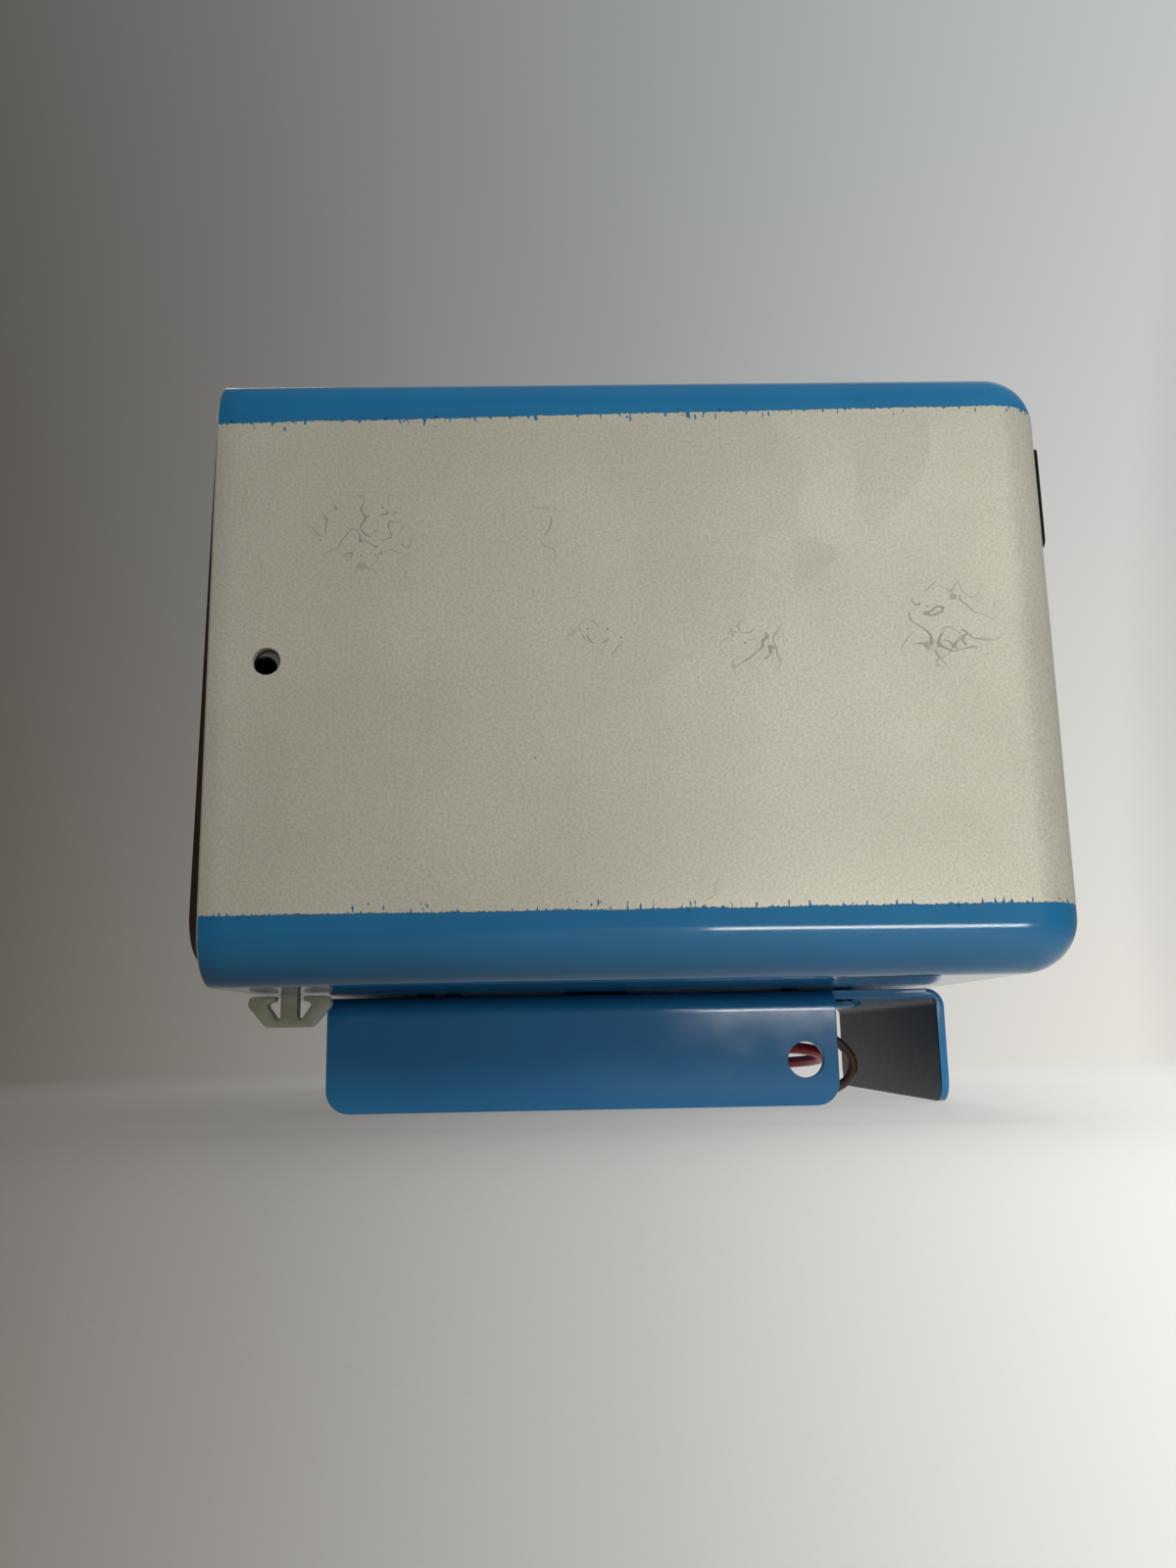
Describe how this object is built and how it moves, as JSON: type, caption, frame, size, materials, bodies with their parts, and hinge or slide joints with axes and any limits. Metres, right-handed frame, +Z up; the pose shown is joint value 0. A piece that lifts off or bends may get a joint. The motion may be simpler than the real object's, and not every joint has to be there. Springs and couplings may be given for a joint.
{
  "type": "garage door opener control unit",
  "caption": "Wired radio control box of a garage door opener: drawn blue and silver cover with an open rear end, folded mounting bracket, leads, push button and relay.",
  "frame": {"origin": "middle of the unit's outline, on the surface it stands on, which is the lower edges of the bracket's flanges", "axes": "+X towards the closed front end with the button, +Y towards the right-hand side, +Z up from the bracket to the cover's top"},
  "size_m": [0.1316, 0.172, 0.1023],
  "materials": {
    "cover_paint": "gloss blue enamel with a textured silver wrap panel",
    "bracket_paint": "gloss blue enamel",
    "zinc_steel": "zinc plated",
    "nylon": "aged natural nylon",
    "black_rubber": "matte",
    "dark_trim": "satin black",
    "chrome": "bright",
    "black_plastic": "moulded",
    "red_lens": "clear red",
    "brown_board": "phenolic board",
    "green_board": "solder resist",
    "brass": "plain",
    "copper": "enamelled copper",
    "aluminium": "satin",
    "ceramic": "matte",
    "red_insulation": "vinyl",
    "brown_insulation": "vinyl",
    "black_insulation": "vinyl"
  },
  "bodies": {
    "housing": {"antenna_nut": "brass", "antenna_stud": "brass", "bezel_nut": "zinc_steel", "black_lead": "black_insulation", "black_wire": "black_insulation", "board_screw_1": "zinc_steel", "board_screw_2": "zinc_steel", "board_screw_3": "zinc_steel", "board_screw_4": "zinc_steel", "bracket": "bracket_paint", "bracket_rivet_1": "bracket_paint", "bracket_rivet_2": "bracket_paint", "bracket_rivet_3": "bracket_paint", "bracket_rivet_4": "bracket_paint", "brown_lead": "brown_insulation", "brown_wire": "brown_insulation", "button_bezel": "chrome", "button_spring": "zinc_steel", "chassis": "zinc_steel", "circuit_board": "green_board", "contact_post": "brass", "cover": "cover_paint", "cover_screw": "zinc_steel", "decoder_chip": "black_plastic", "filter_capacitor": "aluminium", "front_nameplate": "dark_trim", "indicator_lens": "red_lens", "lens_clip": "zinc_steel", "panel_screw_1": "zinc_steel", "panel_screw_2": "zinc_steel", "panel_screw_3": "zinc_steel", "panel_screw_4": "zinc_steel", "rear_panel": "brown_board", "red_lead": "red_insulation", "red_wire": "red_insulation", "relay_bobbin": "black_plastic", "relay_core": "zinc_steel", "relay_winding": "copper", "relay_yoke": "zinc_steel", "resistor_1": "ceramic", "resistor_2": "ceramic", "snap_fastener": "nylon", "standoff_1": "aluminium", "standoff_2": "aluminium", "standoff_3": "aluminium", "standoff_4": "aluminium", "switch_body": "black_plastic", "switch_terminal_1": "brass", "switch_terminal_2": "brass", "transistor_1": "black_plastic", "transistor_2": "black_plastic", "trimmer_base": "ceramic", "tuning_coil": "copper", "wire_grommet": "black_rubber"},
    "push_button_body": {"push_button": "black_plastic"},
    "relay_armature_body": {"relay_armature": "zinc_steel", "contact_blade": "brass"},
    "trimmer_rotor_body": {"trimmer_rotor": "brass"}
  },
  "joints": [
    {"name": "button_press", "type": "slide", "parent": "housing", "child": "push_button_body", "axis": [-1, 0, 0], "range_m": [0, 0.002], "stiffness_N_per_m": 400, "springref_m": -0.001, "deforming": ["button_spring"]},
    {"name": "armature_pull", "type": "hinge", "parent": "housing", "child": "relay_armature_body", "pos_m": [0.01588, 0.02905, 0.05635], "axis": [0, 1, 0], "range_deg": [0, 3.5], "stiffness_Nm_per_rad": 0.02, "springref_deg": -5.73},
    {"name": "trimmer_turn", "type": "hinge", "parent": "housing", "child": "trimmer_rotor_body", "pos_m": [-0.02287, -0.03695, 0.0355], "axis": [0, 0, 1], "continuous": true}
  ]
}
